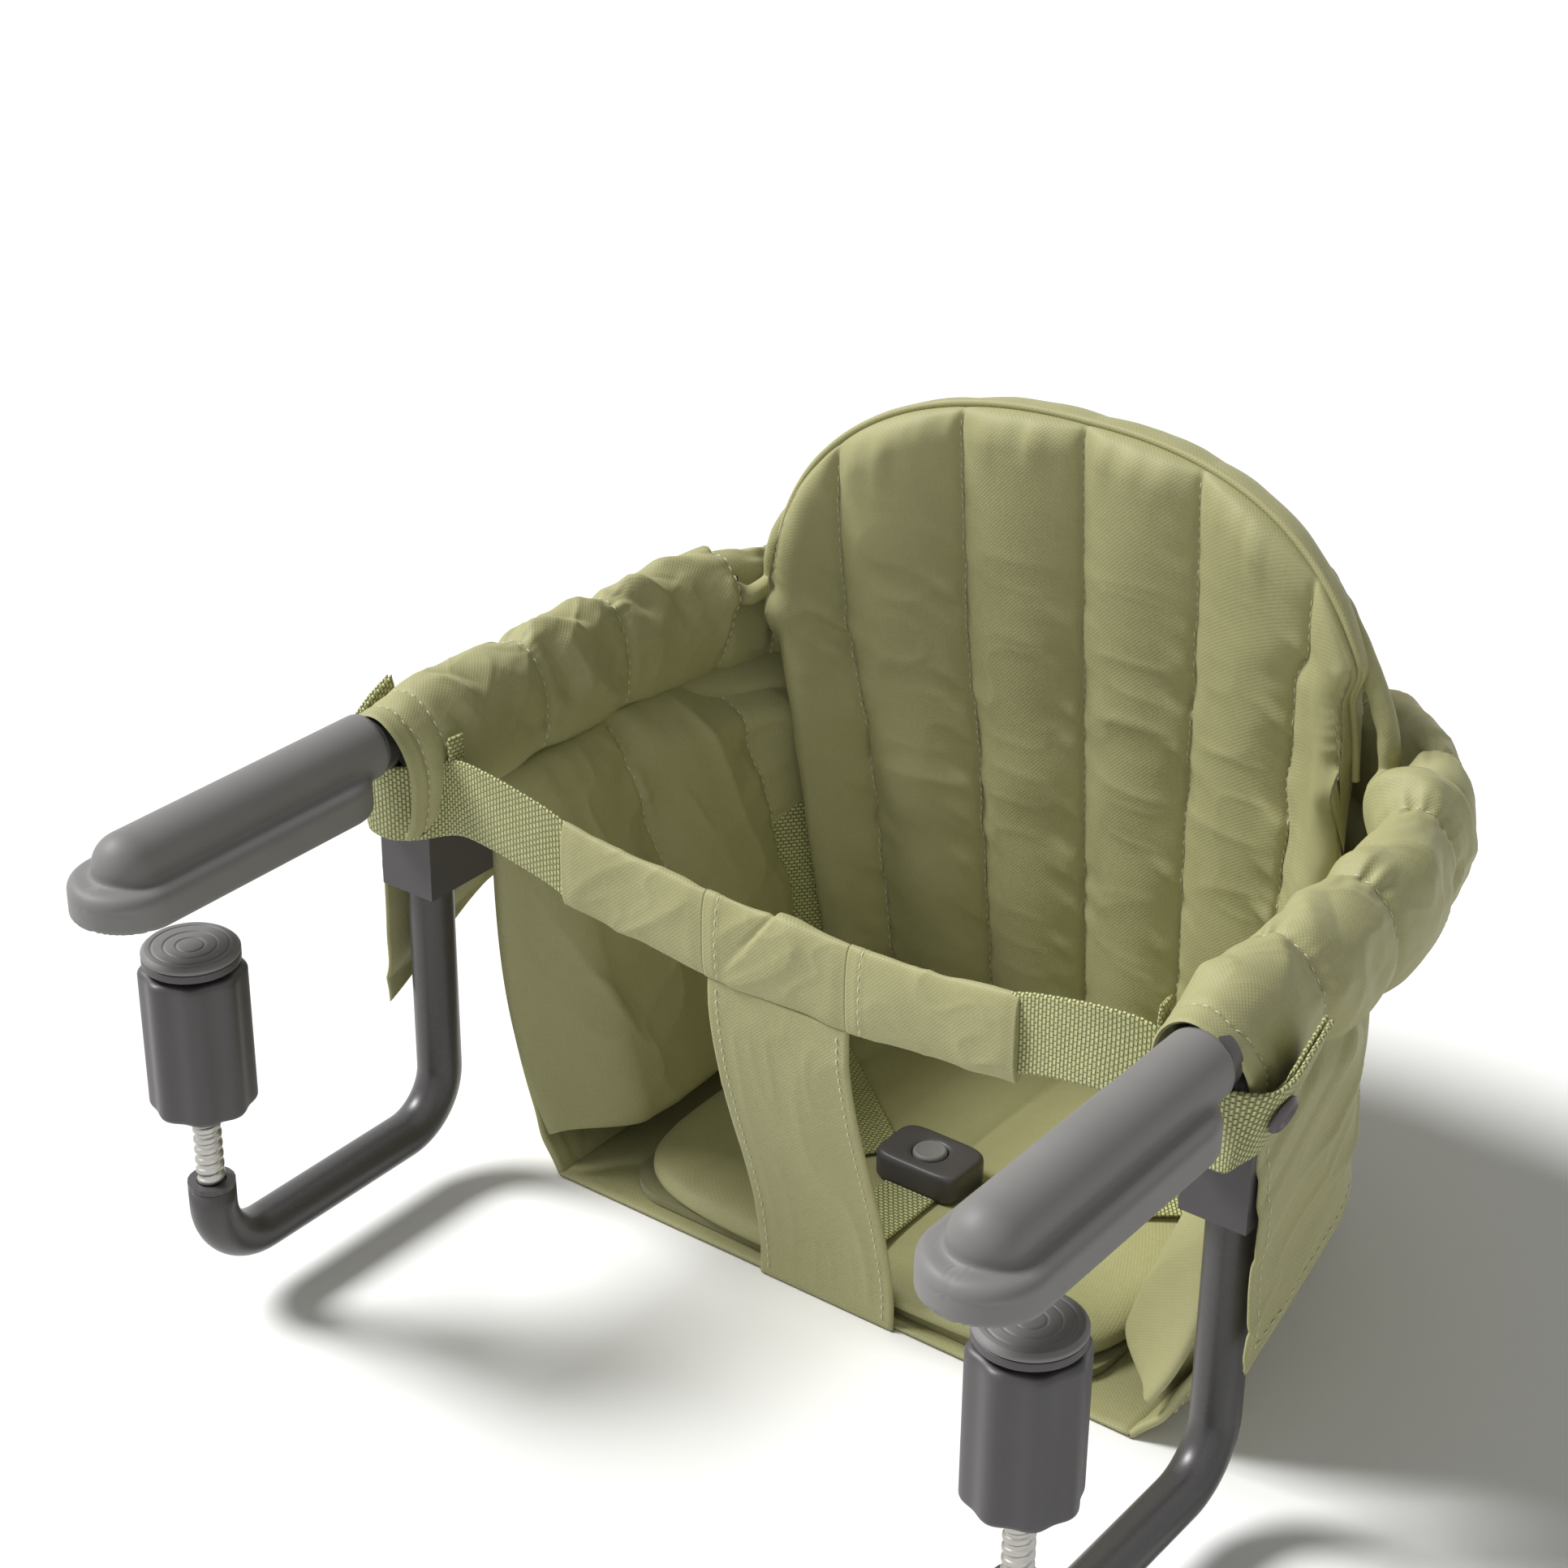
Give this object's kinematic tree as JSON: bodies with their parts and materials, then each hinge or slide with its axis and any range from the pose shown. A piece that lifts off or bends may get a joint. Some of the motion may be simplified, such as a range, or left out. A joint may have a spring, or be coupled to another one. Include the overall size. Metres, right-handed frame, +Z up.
{
  "type": "hook on table chair",
  "caption": "Fabric child seat that hangs on two rubber-shod arms over a table edge, with screw clamps below and a padded backrest.",
  "frame": {"origin": "on the table top at its edge, midway between the two arms", "axes": "+X across the seat to the right arm, +Y away from the table towards the backrest, +Z up"},
  "size_m": [0.4464, 0.4588, 0.3477],
  "materials": {
    "fabric": "woven",
    "webbing": "ribbed webbing",
    "foam": "woven over foam",
    "rubber": "matte",
    "tube_paint": "satin",
    "bare_steel": "zinc plated",
    "plastic": "matte"
  },
  "bodies": {
    "frame": {"rim_tube": "tube_paint", "rear_sleeve": "fabric", "seat_bag": "fabric", "seat_board": "plastic", "seat_pad": "foam", "back_cushion_lower": "fabric", "crotch_panel": "fabric", "strap_sleeve": "fabric", "crotch_strap": "webbing", "buckle_body": "plastic", "left_pivot_housing": "plastic", "left_pivot_bush": "plastic", "left_lock_spring": "bare_steel", "left_armrest_sleeve": "fabric", "left_cuff": "fabric", "left_side_wing": "fabric", "left_side_pad": "fabric", "left_hoop_clamp": "plastic", "left_strap_sleeve": "fabric", "left_front_webbing": "webbing", "left_snap_cap": "plastic", "left_waist_belt": "webbing", "right_pivot_housing": "plastic", "right_pivot_bush": "plastic", "right_lock_spring": "bare_steel", "right_armrest_sleeve": "fabric", "right_cuff": "fabric", "right_side_wing": "fabric", "right_side_pad": "fabric", "right_hoop_clamp": "plastic", "right_strap_sleeve": "fabric", "right_front_webbing": "webbing", "right_snap_cap": "plastic", "right_waist_belt": "webbing"},
    "left_arm": {"left_arm_tube": "tube_paint", "left_shoe": "rubber", "left_collar": "tube_paint", "left_end_plug": "plastic", "left_spindle": "bare_steel"},
    "left_pad": {"left_pad_cup": "plastic", "left_rubber_pad": "rubber"},
    "left_knob": {"left_clamp_knob": "plastic"},
    "left_lock": {"left_lock_button": "rubber"},
    "right_arm": {"right_arm_tube": "tube_paint", "right_shoe": "rubber", "right_collar": "tube_paint", "right_end_plug": "plastic", "right_spindle": "bare_steel"},
    "right_pad": {"right_pad_cup": "plastic", "right_rubber_pad": "rubber"},
    "right_knob": {"right_clamp_knob": "plastic"},
    "right_lock": {"right_lock_button": "rubber"},
    "backrest": {"back_cushion_upper": "fabric", "back_hoop": "tube_paint", "back_cover": "fabric"},
    "buckle_release": {"buckle_button": "rubber"}
  },
  "joints": [
    {"name": "left_arm_fold", "type": "hinge", "parent": "frame", "child": "left_arm", "pos_m": [-0.2, 0.038, 0], "axis": [0, 0, 1], "range_deg": [0, 90], "deforming": ["left_cuff", "left_front_webbing", "left_strap_sleeve"]},
    {"name": "left_pad_lift", "type": "slide", "parent": "left_arm", "child": "left_pad", "axis": [0, 0, 1], "range_m": [-0.035, 0.005]},
    {"name": "left_knob_turn", "type": "hinge", "parent": "left_pad", "child": "left_knob", "pos_m": [-0.2, -0.1, 0], "axis": [0, 0, 1], "range_deg": [-2520, 360]},
    {"name": "left_lock_press", "type": "slide", "parent": "frame", "child": "left_lock", "axis": [0, -1, 0], "range_m": [0, 0.004], "stiffness_N_per_m": 300, "deforming": ["left_lock_spring"]},
    {"name": "right_arm_fold", "type": "hinge", "parent": "frame", "child": "right_arm", "pos_m": [0.2, 0.038, 0], "axis": [0, 0, -1], "range_deg": [0, 90], "deforming": ["right_cuff", "right_front_webbing", "right_strap_sleeve"]},
    {"name": "right_pad_lift", "type": "slide", "parent": "right_arm", "child": "right_pad", "axis": [0, 0, 1], "range_m": [-0.035, 0.005]},
    {"name": "right_knob_turn", "type": "hinge", "parent": "right_pad", "child": "right_knob", "pos_m": [0.2, -0.1, 0], "axis": [0, 0, 1], "range_deg": [-2520, 360]},
    {"name": "right_lock_press", "type": "slide", "parent": "frame", "child": "right_lock", "axis": [0, -1, 0], "range_m": [0, 0.004], "stiffness_N_per_m": 300, "deforming": ["right_lock_spring"]},
    {"name": "backrest_fold", "type": "hinge", "parent": "frame", "child": "backrest", "pos_m": [0, 0.20977, 0.025], "axis": [1, 0, 0], "range_deg": [0, 85]},
    {"name": "buckle_press", "type": "slide", "parent": "frame", "child": "buckle_release", "axis": [0, 0, -1], "range_m": [0, 0.0025], "stiffness_N_per_m": 300}
  ],
  "couplings": [
    {"joint": "left_pad_lift", "follows": "left_knob_turn", "m_per_rad": 0.00079577},
    {"joint": "right_pad_lift", "follows": "right_knob_turn", "m_per_rad": 0.00079577}
  ]
}
